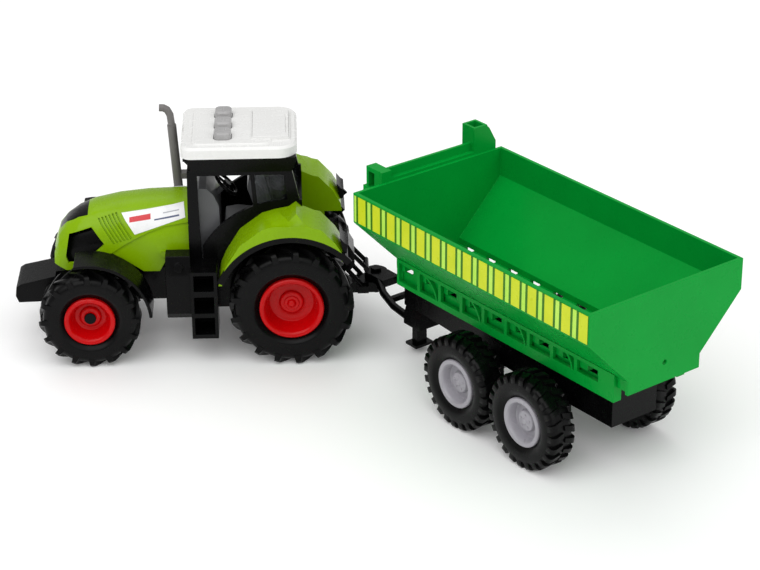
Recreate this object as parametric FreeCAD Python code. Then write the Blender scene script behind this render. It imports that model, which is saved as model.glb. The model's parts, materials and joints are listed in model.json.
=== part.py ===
import FreeCAD, Part
import math
import os

# Toy farm tractor with a hitched two-axle hopper trailer.
# Millimetres, +Z up, ground at Z = 0. The tractor looks along +X and its left side is +Y.
# The tractor is drawn with its rear axle above the origin; the trailer is drawn with its
# hitch ring above the origin, looking along +X, and is then swung round on the hitch pin.

V = FreeCAD.Vector
os.makedirs("parts", exist_ok=True)

# ---------------------------------------------------------------- driving dimensions
REAR_R = 35.0            # rear tyre radius
REAR_W = 22.0            # rear tyre width
REAR_RIM_R = 18.0
REAR_OUT = 49.0          # outer face of the rear wheels from the middle
FRONT_R = 28.5
FRONT_W = 18.0
FRONT_RIM_R = 14.2
FRONT_OUT = 47.0
WHEELBASE = 113.0
AXLE_R = 2.0
RUN_GAP = 0.3            # free gap round anything that turns or slides

CAB_HALF = 26.0          # half width of the cab frame
CAB_FLOOR = 50.0
CAB_TOP = 109.5
ARCH_R = 57.0            # black arch line of the cab side above the rear wheel
FENDER_OUT = 50.0

ROOF_X0 = -5.0
ROOF_X1 = 59.4
ROOF_HALF = 31.0
ROOF_Z0 = 119.0
ROOF_Z1 = 125.6
BUTTON_HALF_X = 4.8      # the keys are rounded pads, a little longer across the roof
BUTTON_HALF_Y = 5.5
BUTTON_X = 36.2
BUTTON_PITCH = 15.7
BUTTON_TRAVEL = 1.5

BONNET_X0 = 57.0
BONNET_BASE = 46.0       # lowest level of the bonnet skirt
LOUVRES = 6

HITCH_X = -48.9
HITCH_YAW = -54.4        # trailer heading against the tractor heading, degrees
RING_Z0 = 30.4
RING_Z1 = 35.0

TUB_FRONT = 48.0         # distances behind the hitch pin
TUB_REAR = 236.0
TUB_HALF = 52.2
TUB_TOP = 114.4
TUB_BAND = 97.0          # foot of the upright side band
TUB_FOOT_HALF = 24.8
TUB_FOOT = 69.0
TUB_FLOOR = 61.0
TUB_FLOOR_TOP = 64.0
TUB_WALL = 2.0
BAY_PITCH = 18.2
SLOT_PITCH = 18.6        # drain slots along the foot of each sloping wall
SLOT_HALF = 3.7
PANEL_X0 = 51.0
PANEL_X1 = 226.0
PANEL_Z0 = 52.8
BEAM_HALF = 15.5
BEAM_Z0 = 31.0
BEAM_Z1 = 52.5
TRL_R = 26.5
TRL_W = 16.0
TRL_RIM_R = 13.6
TRL_OUT = 44.0
TRL_AXLES = (123.5, 177.3)

GEAR_MODULE = 0.7
MAIN_TEETH = 24
PINION_TEETH = 8
IDLER_TEETH = 22
TRAIN_ANGLE = 15.0       # the train climbs forward at this angle

nodes = {}


# ---------------------------------------------------------------- shape helpers
def box(x0, x1, y0, y1, z0, z1):
    return Part.makeBox(x1 - x0, y1 - y0, z1 - z0, V(x0, y0, z0))


def rod(a, b, r):
    a = V(*a)
    b = V(*b)
    return Part.makeCylinder(r, (b - a).Length, a, b - a)


def prism_y(points, y0, y1):
    wire = Part.makePolygon([V(x, y0, z) for x, z in points] + [V(points[0][0], y0, points[0][1])])
    return Part.Face(wire).extrude(V(0, y1 - y0, 0))


def prism_z(points, z0, z1):
    wire = Part.makePolygon([V(x, y, z0) for x, y in points] + [V(points[0][0], points[0][1], z0)])
    return Part.Face(wire).extrude(V(0, 0, z1 - z0))


def prism_x(points, x0, x1):
    wire = Part.makePolygon([V(x0, y, z) for y, z in points] + [V(x0, points[0][0], points[0][1])])
    return Part.Face(wire).extrude(V(x1 - x0, 0, 0))


def fuse(shapes):
    out = shapes[0].multiFuse(list(shapes[1:])) if len(shapes) > 1 else shapes[0]
    return out.removeSplitter()


def cut(shape, tools):
    for tool in tools:
        shape = shape.cut(tool)
    return shape


def mirrored(shape):
    return shape.mirror(V(0, 0, 0), V(0, 1, 0))


def both(shape):
    return [shape, mirrored(shape)]


def sector(cx, cz, r0, r1, a0, a1, y0, y1):
    """Part of a ring round a cross axis, angles in degrees from +X towards +Z."""
    ring = Part.makeCylinder(r1, y1 - y0, V(cx, y0, cz), V(0, 1, 0))
    ring = ring.cut(Part.makeCylinder(r0, y1 - y0, V(cx, y0, cz), V(0, 1, 0)))
    steps = 12
    far = r1 * 1.6
    fan = [(cx, cz)]
    for i in range(steps + 1):
        a = math.radians(a0 + (a1 - a0) * i / steps)
        fan.append((cx + far * math.cos(a), cz + far * math.sin(a)))
    return ring.common(prism_y(fan, y0, y1))


def turned(profile, x, y, z, side):
    """Solid turned about a cross axis; profile is (radius, depth inwards from the outer face)."""
    pts = [V(x + r, y - side * d, z) for r, d in profile]
    face = Part.Face(Part.makePolygon(pts + [pts[0]]))
    return face.revolve(V(x, 0, z), V(0, 1, 0), 360)


def put(name, shape):
    nodes[name] = shape


def put_pair(name, left):
    put(name + "_left", left)
    put(name + "_right", mirrored(left))


# ---------------------------------------------------------------- wheels
def tyre(x, out, r, w, rim_r, side):
    profile = [
        (rim_r, 1.0), (rim_r + 1.2, 0.2), (r - 3.0, 0.0), (r - 0.8, 0.9), (r, 2.6),
        (r, w - 2.6), (r - 0.8, w - 0.9), (r - 3.0, w), (rim_r + 1.2, w - 0.2), (rim_r, w - 1.0),
    ]
    return turned(profile, x, side * out, r, side)


def rim(x, out, r, w, rim_r, hub_r, dish, bore, side):
    wall = 1.6
    profile = [
        (bore, dish), (hub_r - 1.5, dish), (hub_r, dish + 1.0), (hub_r + 0.5, dish + 2.2),
        (rim_r - 5.0, dish + 2.2), (rim_r - wall - 0.8, 2.0), (rim_r - wall, 0.6), (rim_r, 0.6),
        (rim_r, w - 0.6), (rim_r - wall, w - 0.6), (rim_r - wall, dish + 4.6),
        (hub_r, dish + 4.6), (hub_r - 0.6, w + 0.2), (bore, w + 0.2),
    ]
    return turned(profile, x, side * out, r, side)


for side, name in ((1, "left"), (-1, "right")):
    put("rear_tyre_" + name, tyre(0, REAR_OUT, REAR_R, REAR_W, REAR_RIM_R, side))
    rear_rim = rim(0, REAR_OUT, REAR_R, REAR_W, REAR_RIM_R, 6.4, 8.4, AXLE_R, side)
    hub_cap = turned([(0, 7.4), (1.4, 7.4), (2.2, 8.4), (0, 8.4)], 0, side * REAR_OUT, REAR_R, side)
    put("rear_rim_" + name, fuse([rear_rim, hub_cap]))
    put("front_tyre_" + name, tyre(WHEELBASE, FRONT_OUT, FRONT_R, FRONT_W, FRONT_RIM_R, side))
    put("front_rim_" + name, rim(WHEELBASE, FRONT_OUT, FRONT_R, FRONT_W, FRONT_RIM_R, 5.6, 6.6,
                                 1.5 + RUN_GAP, side))


# ---------------------------------------------------------------- friction drive
def gear(cx, cz, teeth, y0, y1, tooth_angle):
    """Spur gear on a cross axis with one tooth centred on tooth_angle."""
    pitch_r = GEAR_MODULE * teeth / 2.0
    root_r = pitch_r - 0.85
    half_root = 0.50 / root_r
    half_tip = 0.22 / (pitch_r + 0.5)
    pts = []
    for i in range(teeth):
        a = math.radians(tooth_angle + 360.0 * i / teeth)
        gap = math.pi / teeth
        for r, da in ((root_r, -half_root), (pitch_r + 0.5, -half_tip),
                      (pitch_r + 0.5, half_tip), (root_r, half_root), (root_r, gap)):
            pts.append((cx + r * math.cos(a + da), cz + r * math.sin(a + da)))
    return prism_y(pts, y0, y1)


main_r = GEAR_MODULE * MAIN_TEETH / 2.0
pinion_r = GEAR_MODULE * PINION_TEETH / 2.0
idler_r = GEAR_MODULE * IDLER_TEETH / 2.0
step_1 = main_r + pinion_r
step_2 = idler_r + pinion_r
climb = math.radians(TRAIN_ANGLE)
idler_x = step_1 * math.cos(climb)
idler_z = REAR_R + step_1 * math.sin(climb)
fly_x = idler_x + step_2 * math.cos(climb)
fly_z = idler_z + step_2 * math.sin(climb)
half_pinion = 180.0 / PINION_TEETH

main_gear = gear(0, REAR_R, MAIN_TEETH, -6.0, -2.0, TRAIN_ANGLE)
axle = rod((0, -39, REAR_R), (0, 39, REAR_R), AXLE_R)
put("rear_axle", fuse([axle, main_gear]))
idler = fuse([
    gear(idler_x, idler_z, PINION_TEETH, -6.0, -1.5, TRAIN_ANGLE + 180 + half_pinion),
    gear(idler_x, idler_z, IDLER_TEETH, -1.5, 2.5, TRAIN_ANGLE),
    rod((idler_x, -9.6, idler_z), (idler_x, 9.6, idler_z), 1.0),
])
put("motor_idler", idler)
flywheel = fuse([
    gear(fly_x, fly_z, PINION_TEETH, -1.2, 3.4, TRAIN_ANGLE + 180 + half_pinion),
    rod((fly_x, 3.4, fly_z), (fly_x, 7.6, fly_z), 7.0),
    rod((fly_x, -9.6, fly_z), (fly_x, 9.6, fly_z), 1.0),
])
put("motor_flywheel", flywheel)

case = box(-11.5, 31.5, -10.0, 10.0, 25.2, 49.6)
case_room = box(-10.3, 30.3, -8.6, 8.6, 25.8, 48.4)
fly_room = rod((fly_x, 2.9, fly_z), (fly_x, 8.6, fly_z), 7.5)
case = cut(case, [
    case_room,
    fly_room,
    rod((0, -12, REAR_R), (0, 12, REAR_R), AXLE_R + RUN_GAP),
    rod((idler_x, -9.9, idler_z), (idler_x, 9.9, idler_z), 1.0 + RUN_GAP),
    rod((fly_x, -9.9, fly_z), (fly_x, 9.9, fly_z), 1.0 + RUN_GAP),
])
put("motor_case", case)

# ---------------------------------------------------------------- tractor chassis
pan = box(-28, 60, -20, 20, 23.4, CAB_FLOOR)
pan_room = box(-25.5, 57.5, -17.6, 17.6, 25.2, CAB_FLOOR)
nose_beam = box(60, 128, -13, 13, 26, 46)
nose_room = box(60, 125.5, -10.8, 10.8, 25, 43.8)
bulkhead = box(57.5, 60, -17.6, 17.6, 23.4, CAB_FLOOR)
axle_beam = box(WHEELBASE - 6, WHEELBASE + 6, -26.5, 26.5, 22.5, 34.5)
outriggers = both(box(41.5, 67.5, 20, 26.2, 30, 48))
tow_arm = box(128, 134, -7, 7, 30, 42)
pan = cut(pan, [pan_room])
nose_beam = nose_beam.cut(nose_room)
chassis = fuse([pan, nose_beam, bulkhead, axle_beam, tow_arm] + outriggers)
screw_posts = [(-21.0, 12.0), (-21.0, -12.0), (50.0, 12.0), (50.0, -12.0)]
posts = [rod((x, y, 25.2), (x, y, CAB_FLOOR), 3.0) for x, y in screw_posts]
chassis = fuse([chassis] + posts)
chassis = cut(chassis, [rod((x, y, 20), (x, y, 44), 1.1) for x, y in screw_posts])
chassis = cut(chassis, [rod((x, y, 20), (x, y, 25.0), 2.3) for x, y in screw_posts])
chassis = cut(chassis, [
    rod((0, -30, REAR_R), (0, 30, REAR_R), AXLE_R + RUN_GAP),
    rod((WHEELBASE, -30, FRONT_R), (WHEELBASE, 30, FRONT_R), 1.5),
])
put("tractor_chassis", chassis)
screws = [fuse([rod((x, y, 23.4), (x, y, 25.0), 2.2), rod((x, y, 24), (x, y, 42), 1.1)])
          for x, y in screw_posts]
put("chassis_screws", Part.makeCompound(screws))

pin_out = FRONT_OUT - 6.0
front_pin = fuse([rod((WHEELBASE, -pin_out, FRONT_R), (WHEELBASE, pin_out, FRONT_R), 1.5)]
                 + both(rod((WHEELBASE, pin_out, FRONT_R), (WHEELBASE, pin_out + 1.4, FRONT_R), 3.3)))
put("front_axle", front_pin)

weight_side = [(134, 26.5), (155.4, 26), (157, 30), (156.4, 35.4), (153.6, 37.2), (134, 41.6)]
weight = prism_y(weight_side, -14, 14)
weight = cut(weight, both(prism_x([(13, 50), (13, 42), (14.2, 34), (14.2, 50)], 130, 160)))
put("front_weight", weight)

# ---------------------------------------------------------------- front fenders
fender = fuse([
    sector(WHEELBASE, FRONT_R, 33.6, 35.4, 78, 176, 27, 48),
    sector(WHEELBASE, FRONT_R, 29.6, 35.4, 100, 168, 27, 28.6),
    box(84, 92, 13, 28, 41, 46),
])
put_pair("front_fender", fender)

# ---------------------------------------------------------------- bonnet
# Cross sections: level of the ridge and half width at stations along the bonnet.
STATIONS = ((BONNET_X0, 87.0, 22.5), (80, 86.3, 22.2), (96, 84.7, 21.6), (110, 81.6, 20.8),
            (119, 77.8, 19.8), (126, 72.8, 18.4), (130.5, 67.4, 17.2), (133.4, 58.8, 15.8))
SHAPE = ((0.0, 0.0), (8.0, 0.5), (12.4, 2.2), (18.0, 8.2), (21.0, 17.0), (22.5, 27.0))


def bonnet_body(inset):
    wires = []
    for x, top, half in STATIONS:
        kx = (half - inset) / 22.5
        kz = (top - BONNET_BASE) / 41.0
        right = [(-y * kx, top - inset - drop * kz) for y, drop in SHAPE[1:]]
        left = [(y * kx, top - inset - drop * kz) for y, drop in SHAPE]
        ring = [(-SHAPE[-1][0] * kx, 40.0)] + right[::-1] + left + [(SHAPE[-1][0] * kx, 40.0)]
        if x > 133:
            x = x - inset
        wires.append(Part.makePolygon([V(x, y, z) for y, z in ring + ring[:1]]))
    return Part.makeLoft(wires, True, True)


hood = bonnet_body(0)
hood_room = bonnet_body(2.0)
under = [(50, 38), (50, 57.7), (65.5, 57.4), (70, 54.6), (74, 47.5), (83, 47.5), (94.2, 55.2), (101, 59),
         (104, 59), (116, 49), (127, 47.8), (134, 51.5), (140, 51.5), (140, 38)]
hood = hood.cut(prism_y(under, -30, 30))
crease = [(103, 57), (100.4, 59.1), (94.4, 63.2), (87.2, 67.2), (80.1, 70.8), (70.4, 74.1), (56, 76.4)]
lower_panel = prism_y(crease + [(56, 40), (103, 40)], -30, 30).cut(bonnet_body(0.8))
mouth_side = [(124.4, 68.7), (111.5, 73.4), (104.4, 64.0), (109.0, 59.8), (118.5, 53.0), (125.4, 52.2),
              (126.7, 56.0)]
top_window = [(130.0, 4.4), (127.5, 5.6), (121.7, 8.8), (113.6, 10.9)]
top_mask = prism_z(top_window + [(x, -y) for x, y in top_window[::-1]], 60, 90)
front_mask = box(127.0, 136, -11, 11, 51.8, 58.6)
louvre_cuts = []
for i in range(LOUVRES):
    x0 = 107.8 - 1.94 * i
    z0 = 77.6 + 0.60 * i
    louvre_cuts.append(prism_y([(x0, z0), (x0 - 1.0, z0 + 0.2), (x0 - 9.4, z0 - 13.0),
                                (x0 - 8.4, z0 - 13.3)], -30, 30))
louvre_tool = Part.makeCompound(louvre_cuts).cut(bonnet_body(0.8))
mouth = prism_y(mouth_side, -30, 30)
hood_shell = cut(hood.cut(hood_room), [lower_panel, mouth, top_mask, front_mask, louvre_tool])
pods = both(rod((71, 20.5, 58.5), (71, 22.9, 58.5), 2.2))
hood_shell = fuse([hood_shell] + pods)
put("bonnet", hood_shell)

core = bonnet_body(4.0).common(box(103.5, 131.0, -30, 30, 50.5, 78)).cut(prism_y(under, -30, 30))
core = core.cut(box(100, 126, -11, 11, 40, 90))
cap_front = hood.common(front_mask)
cap_top = hood.common(top_mask).cut(bonnet_body(2.2).common(box(100, 127.5, -30, 30, 40, 90)))
nose = fuse([core, cap_top, cap_front, box(133.0, 134.0, -10.4, 10.4, 52.4, 58.0)])
slats = [box(132.4, 140, -9.8, 9.8, 53.2 + 1.7 * i, 54.1 + 1.7 * i) for i in range(3)]
nose = cut(nose, slats)
put("nose_insert", nose)

label_side = [(94.4, 80.7), (59.4, 85.4), (58.6, 78.9), (87.2, 69.9)]
skin = bonnet_body(-0.25).cut(bonnet_body(0))
label = skin.common(prism_y(label_side, 4, 30))
put("side_labels", Part.makeCompound(both(label)))

# ---------------------------------------------------------------- exhaust
EXHAUST_Y = -19.5
PIPE_R = 2.65
TIP_R = 2.1
TIP_PATH = [(65.9, 119.6), (66.6, 126.0), (68.1, 128.9), (70.2, 130.1), (72.6, 130.2)]
exhaust_rods = [rod((63.3, EXHAUST_Y, 78.0), (65.9, EXHAUST_Y, 119.8), PIPE_R)]
for a, b in zip(TIP_PATH[:-1], TIP_PATH[1:]):
    exhaust_rods.append(rod((a[0], EXHAUST_Y, a[1]), (b[0], EXHAUST_Y, b[1]), TIP_R))
knees = [Part.makeSphere(TIP_R, V(x, EXHAUST_Y, z)) for x, z in TIP_PATH[1:-1]]
clip = box(56.9, 63.0, EXHAUST_Y - 4.5, EXHAUST_Y + 1.4, 86.8, 90.2)
exhaust = fuse(exhaust_rods + knees + [clip])
exhaust = exhaust.cut(rod((70.4, EXHAUST_Y, 130.1), (75, EXHAUST_Y, 130.3), TIP_R - 0.6))
exhaust = exhaust.cut(bonnet_body(-0.4))
put("exhaust_stack", exhaust)

# ---------------------------------------------------------------- cab frame
floor = box(-28, 57.0, -CAB_HALF, CAB_HALF, CAB_FLOOR, CAB_FLOOR + 2)
side_wall = prism_y([(-28, 52)] + [(ARCH_R * math.cos(math.radians(a)),
                                    REAR_R + ARCH_R * math.sin(math.radians(a)))
                                   for a in range(17, 119, 6)] + [(-28, 85)], 23.6, CAB_HALF)
side_wall = side_wall.common(box(-7, 49, 20, 30, 51, 92))
door_sill = box(44, 57, 23.6, CAB_HALF, 51, 56)
front_post = prism_y([(49.6, 51), (56.8, 51), (56.8, 86), (56.4, CAB_TOP), (51.0, CAB_TOP),
                      (50.6, 86)], 22.4, CAB_HALF)
rear_post = prism_y([(-6.4, 81), (-3.8, 81), (0.6, 90), (3.4, CAB_TOP), (-1.8, CAB_TOP), (-6.4, 88)],
                    22.4, CAB_HALF)
mid_post = prism_y([(17.4, 84), (19.8, 84), (21.6, CAB_TOP), (19.4, CAB_TOP)], 24.2, CAB_HALF)
firewall = box(54.2, 56.4, -22.4, 22.4, 52, 84)
back_wall = box(-7.0, -4.6, -23.6, 23.6, 52, 84)
top_rails = [box(-1.6, 56.4, 22.4, CAB_HALF, CAB_TOP - 2.4, CAB_TOP)]
cross_front = box(52.0, 56.4, -22.4, 22.4, CAB_TOP - 2.4, CAB_TOP)
cross_rear = box(-1.6, 2.6, -22.4, 22.4, CAB_TOP - 2.4, CAB_TOP)
boot = box(-28, -7, -23.6, 23.6, 52, 58)
half_frame = [side_wall, door_sill, front_post, rear_post, mid_post] + top_rails
frame_shapes = [floor, firewall, back_wall, cross_front, cross_rear, boot]
for piece in half_frame:
    frame_shapes = frame_shapes + both(piece)
cab = fuse(frame_shapes)
cab = cut(cab, [rod((x, y, 49), (x, y, 53), 1.3) for x, y in screw_posts])

pane = prism_y([(3.0, 91.0), (17.2, 89.2), (19.4, CAB_TOP - 2.4), (4.6, CAB_TOP - 2.4)], 24.4, 25.4)
rear_pane = prism_y([(-5.0, 84.0), (-4.0, 84.0), (0.2, CAB_TOP - 2.4), (-0.8, CAB_TOP - 2.4)], -22.4, 22.4)
glass = fuse([rear_pane] + both(pane) + both(prism_y([(-4.2, 88.0), (3.0, 91.0), (4.6, 107.1),
                                                       (-0.8, 107.1)], 21.4, 22.4)))
glass = fuse([glass] + both(box(3.0, 4.4, 21.4, 25.4, 91.0, 107.1)))
glass = glass.cut(cab)
put("cab_glass", glass)

# ---------------------------------------------------------------- cab interior
console = prism_y([(38.8, 52), (53.6, 52), (53.6, 93), (50.5, 96), (46.5, 95.6), (42.6, 92),
                   (39.6, 85)], -17.5, 17.5)
console = cut(console, both(prism_y([(41 + 2.2, 57), (42 + 2.2, 57), (45.4, 61), (44.4, 61)], 16.7, 19)))
console = cut(console, both(prism_y([(46.2, 57), (47.2, 57), (48.4, 61), (47.4, 61)], 16.7, 19)))
seat_base = box(16, 36.5, -10, 10, 52, 64)
cushion = prism_y([(16, 64), (37, 64), (37.6, 67), (36.4, 72.5), (30, 73.6), (16, 72)], -10.5, 10.5)
back_rest = prism_y([(9, 52), (16, 52), (17.5, 73), (23.6, 92), (22.6, 97), (18.4, 97.6), (14.4, 92),
                     (9, 70)], -9.5, 9.5)
column = rod((45, 0, 82), (36.4, 0, 90.4), 1.7)
interior = fuse([console, seat_base, cushion, back_rest, column,
                 box(9, 53.6, -22.0, 22.0, 52, 53.6)])
put("cab_interior", interior)

wheel_tilt = V(-0.70, 0, 0.714)
hub = V(35.6, 0, 91.2)
steer = Part.makeTorus(7.7, 1.0, hub, wheel_tilt)
spokes = []
for i in range(3):
    a = math.radians(90 + 120 * i)
    out = V(0.714 * math.sin(a), math.cos(a), 0.70 * math.sin(a))
    spokes.append(Part.makeCylinder(0.8, 7.7, hub, out))
boss = Part.makeCylinder(2.3, 2.0, hub - wheel_tilt * 0.6, wheel_tilt)
steering = fuse([steer, boss] + spokes).cut(column)
put("steering_wheel", steering)

# ---------------------------------------------------------------- roof with the sound unit
tray_out = [(-27.0, CAB_TOP), (27.0, CAB_TOP), (30.0, ROOF_Z0), (-30.0, ROOF_Z0)]
tray = prism_x(tray_out, -4.0, 58.2)
tray = cut(tray, [prism_y([(-5, 109), (-1.6, 109), (-5, 119)], -32, 32),
                  prism_y([(54.6, 109), (59, 109), (59, ROOF_Z0 - 1.6), (57.6, ROOF_Z0 - 1.6), (54.6, 113.5)],
                          -32, 32),
                  box(3.0, 52.8, -25.0, 25.0, 111.2, ROOF_Z0)])
cell_ys = (-12.3, 0.0, 12.3)
cell_bed = box(3.0, 18.3, -18.5, 18.5, 116.4, ROOF_Z0 + 0.8)
cell_bed = cut(cell_bed, [rod((9.9, y, 119.4), (9.9, y, 121), 6.0) for y in cell_ys])
cell_legs = both(box(3.0, 18.3, 16.5, 18.5, 111.0, 116.5))
tray = fuse([tray, cell_bed] + cell_legs)
put("roof_tray", tray)

button_ys = [BUTTON_PITCH, 0.0, -BUTTON_PITCH]


def key(y, grow, z0, z1):
    """Upright rounded pad at one button place."""
    hx = BUTTON_HALF_X + grow
    hy = BUTTON_HALF_Y + grow
    pad = box(BUTTON_X - hx, BUTTON_X + hx, y - hy, y + hy, z0, z1)
    return pad.makeFillet(3.0 + grow, [e for e in pad.Edges if e.BoundBox.ZLength > 1])


def corner_edges(shape, x):
    return [e for e in shape.Edges if e.BoundBox.ZLength > 1 and abs(e.BoundBox.XMin - x) < 0.01
            and e.BoundBox.XLength < 0.01]


roof = box(ROOF_X0, ROOF_X1, -ROOF_HALF, ROOF_HALF, ROOF_Z0, ROOF_Z1)
roof = roof.makeFillet(11.0, corner_edges(roof, ROOF_X0))
roof = roof.makeFillet(6.0, corner_edges(roof, ROOF_X1))
roof = roof.makeChamfer(1.4, [e for e in roof.Edges if e.BoundBox.ZMin > ROOF_Z1 - 0.01])
raised = box(9.0, 53.5, -26.5, 26.5, ROOF_Z1 - 1, ROOF_Z1 + 0.8)
raised = raised.makeFillet(5.0, [e for e in raised.Edges if e.BoundBox.ZLength > 1])
raised = raised.makeChamfer(0.6, [e for e in raised.Edges if e.BoundBox.ZMin > ROOF_Z1 + 0.79])
hatch_seat = box(-1.0, 20.4, -20.0, 20.0, ROOF_Z1 - 2, ROOF_Z1 + 1.4)
roof = fuse([roof, raised, hatch_seat])
roof_room = box(-1.4, 56.6, -28.0, 28.0, ROOF_Z0, ROOF_Z1 - 1.2)
roof_room = roof_room.makeFillet(6.0, [e for e in roof_room.Edges if e.BoundBox.ZLength > 1])
roof = roof.cut(roof_room)
roof = cut(roof, [key(y, RUN_GAP, 120, 130) for y in button_ys])
cover = box(-0.4, 19.8, -19.4, 19.4, ROOF_Z1, ROOF_Z1 + 1.8)
cover_well = box(-0.5, 19.9, -19.5, 19.5, ROOF_Z1, ROOF_Z1 + 4)
cell_well = box(1.5, 18.4, -18.6, 18.6, ROOF_Z0 + 1, ROOF_Z1 + 1)
roof = cut(roof, [cover_well, cell_well])
put("roof", roof)
cover = cover.cut(box(-2, 1.4, -14, 14, ROOF_Z1 + 1.0, ROOF_Z1 + 3))
put("battery_cover", cover)

put("battery_cells", Part.makeCompound([rod((9.9, y, 119.4), (9.9, y, 124.8), 5.8) for y in cell_ys]))
board = box(22.5, 52.5, -24.0, 24.0, 112.6, 114.2)
feet = [box(x, x + 3, y, y + 3, 111.2, 112.6) for x in (23, 49) for y in (-23.5, 20.5)]
switches = [box(BUTTON_X - 3, BUTTON_X + 3, y - 3, y + 3, 114.2, 116.0) for y in button_ys]
chip = box(44, 50, -5, 5, 114.2, 115.4)
put("sound_board", fuse([board, chip] + feet + switches))
speaker = fuse([rod((12, 0, 111.2), (12, 0, 114.4), 8.2), rod((12, 0, 114.4), (12, 0, 115.4), 5.2)])
put("speaker", speaker)

for y, name in zip(button_ys, ("left", "middle", "right")):
    cap = key(y, 0, 119.0, ROOF_Z1 + 4.6)
    cap = cap.makeFillet(1.4, [e for e in cap.Edges if e.BoundBox.ZMin > ROOF_Z1 + 4])
    flange = key(y, 1.1, 119.0, 121.5)
    stem = rod((BUTTON_X, y, 116.0 + BUTTON_TRAVEL + 0.2), (BUTTON_X, y, 119.5), 1.6)
    put("button_" + name, fuse([cap, flange, stem]))

# ---------------------------------------------------------------- rear fenders
crown = [(41.5, 44.0), (39.0, 55.0), (36.0, 62.0), (28.0, 75.0), (15.5, 84.4), (8.0, 86.6), (0.5, 88.0),
         (-3.6, 91.0), (-7.0, 87.6), (-13.5, 84.6), (-17.0, 83.8), (-25.0, 75.0), (-29.6, 67.0),
         (-30.6, 58.0)]
inner_crown = [(39.6, 44.0), (37.2, 54.4), (34.4, 61.0), (26.8, 73.4), (14.9, 82.6), (7.6, 84.8),
               (0.2, 86.0), (-3.6, 88.6), (-7.6, 85.8), (-13.8, 82.8), (-16.4, 82.0), (-23.4, 74.0),
               (-27.8, 66.4), (-28.8, 58.0)]
fender_body = prism_y(crown + [(-30.6, 30.0), (41.5, 30.0)], CAB_HALF + 0.2, FENDER_OUT)
slope = prism_x([(38.0, 95), (52, 95), (52, 84.5)], -35, 45)
fender_body = fender_body.cut(slope)
fender_room = prism_y(inner_crown + [(-28.8, 29.0), (39.6, 29.0)], CAB_HALF, FENDER_OUT - 1.8)
room_slope = prism_x([(36.0, 93), (52, 93), (52, 82.3)], -35, 45)
fender_room = fender_room.cut(room_slope)
rear_fender = cut(fender_body, [fender_room])
rear_fender = rear_fender.cut(rod((0, 45, REAR_R), (0, 60, REAR_R), 44.5))
rear_fender = rear_fender.cut(box(-60, 60, 20, 60, 20, 48.5))
rear_fender = rear_fender.cut(box(-60, -20, 20, 60, 20, 62))
inner_wall = prism_y([(-7.2, 87.5), (-13.5, 84.6), (-17.0, 83.8), (-25.0, 75.0), (-29.6, 67.0), (-30.2, 62.0),
                      (-20.0, 62.0), (-20.0, 58.2), (-7.2, 58.2)], CAB_HALF - 1.8, CAB_HALF + 0.2)
rear_fender = fuse([rear_fender, inner_wall])
put_pair("rear_fender", rear_fender)
liner = sector(0, REAR_R, 40.4, 41.8, 22, 140, CAB_HALF + 0.2, FENDER_OUT - 2.2)
liner_wall = sector(0, REAR_R, 36.4, 41.8, 26, 140, CAB_HALF - 0.6, CAB_HALF + 0.9)
liner_lip = sector(0, REAR_R, 40.4, 44.3, 22, 140, FENDER_OUT - 1.9 - 1.5, FENDER_OUT - 2.1)
liner = fuse([liner, liner_wall, liner_lip]).cut(rear_fender)
liner = liner.cut(box(-60, 60, 20, CAB_HALF, 30, CAB_FLOOR))
put("cab_frame", fuse([cab] + both(liner)))
lamp = prism_y([(-27.4, 76.8), (-30.0, 73.6), (-31.6, 72.6), (-31.2, 67.6), (-29.4, 67.0)], 30, 46)
lamp = lamp.cut(rear_fender)
put("tail_lamps", Part.makeCompound(both(lamp)))

# ---------------------------------------------------------------- steps and tanks
ladder = box(41.2, 56.0, CAB_HALF + 0.2, 46, 16.4, 57.4)
for z0, z1 in ((45.6, 55.2), (32.0, 42.0), (18.8, 29.2)):
    ladder = ladder.cut(box(43.2, 54.2, CAB_HALF + 3, 47, z0, z1))
tank = prism_x([(CAB_HALF + 0.2, 25), (36, 25), (39, 29), (40, 52), (36, 63), (CAB_HALF + 0.2, 63)],
               56.0, 70.0)
filler = rod((62.6, 37.5, 57.0), (62.6, 40.8, 58.2), 2.6)
step_unit = fuse([ladder, tank, filler])
put_pair("step_unit", step_unit)

# ---------------------------------------------------------------- tractor hitch
block = prism_y([(-28, 24), (-28, 56), (-33, 56), (-36.4, 50), (-36.4, 43), (-34, 40), (-31, 40), (-31, 24)],
                -10, 10)
tongue = fuse([box(HITCH_X, -29, -5.5, 5.5, 23.4, 29.6), rod((HITCH_X, 0, 23.4), (HITCH_X, 0, 29.6), 5.5)])
upper = [rod((-34, y, 49), (-43.2, y, 38.8), 1.3) for y in (-5, 5)]
bridge = rod((-43.2, -6.6, 38.8), (-43.2, 6.6, 38.8), 1.6)
lower = [rod((-32, y, 39.5), (-42.2, y, 27.0), 1.3) for y in (-7.4, 7.4)]
shoes = both(box(-44.4, -38.0, 5.0, 9.2, 24.6, 28.8))
hitch = fuse([block, tongue, bridge] + upper + lower + shoes)
hitch = hitch.cut(rod((HITCH_X, 0, 20), (HITCH_X, 0, 40), 2.2))
put("tow_hitch", hitch)
put("hitch_pin", fuse([rod((HITCH_X, 0, 21.4), (HITCH_X, 0, 36.4), 2.2),
                       rod((HITCH_X, 0, 35.4), (HITCH_X, 0, 37.0), 3.2)]))


# ---------------------------------------------------------------- trailer, drawn straight
def tbox(u0, u1, v0, v1, z0, z1):
    """Box given by its distances behind the hitch pin."""
    return box(-u1, -u0, v0, v1, z0, z1)


def tprism(points, u0, u1):
    return prism_x(points, -u1, -u0)


def hang(name, shape):
    swung = shape.copy()
    swung.rotate(V(0, 0, 0), V(0, 0, 1), HITCH_YAW)
    swung.translate(V(HITCH_X, 0, 0))
    put(name, swung)


def mirror_section(right):
    return right + [(-y, z) for y, z in right[::-1]]


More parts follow.
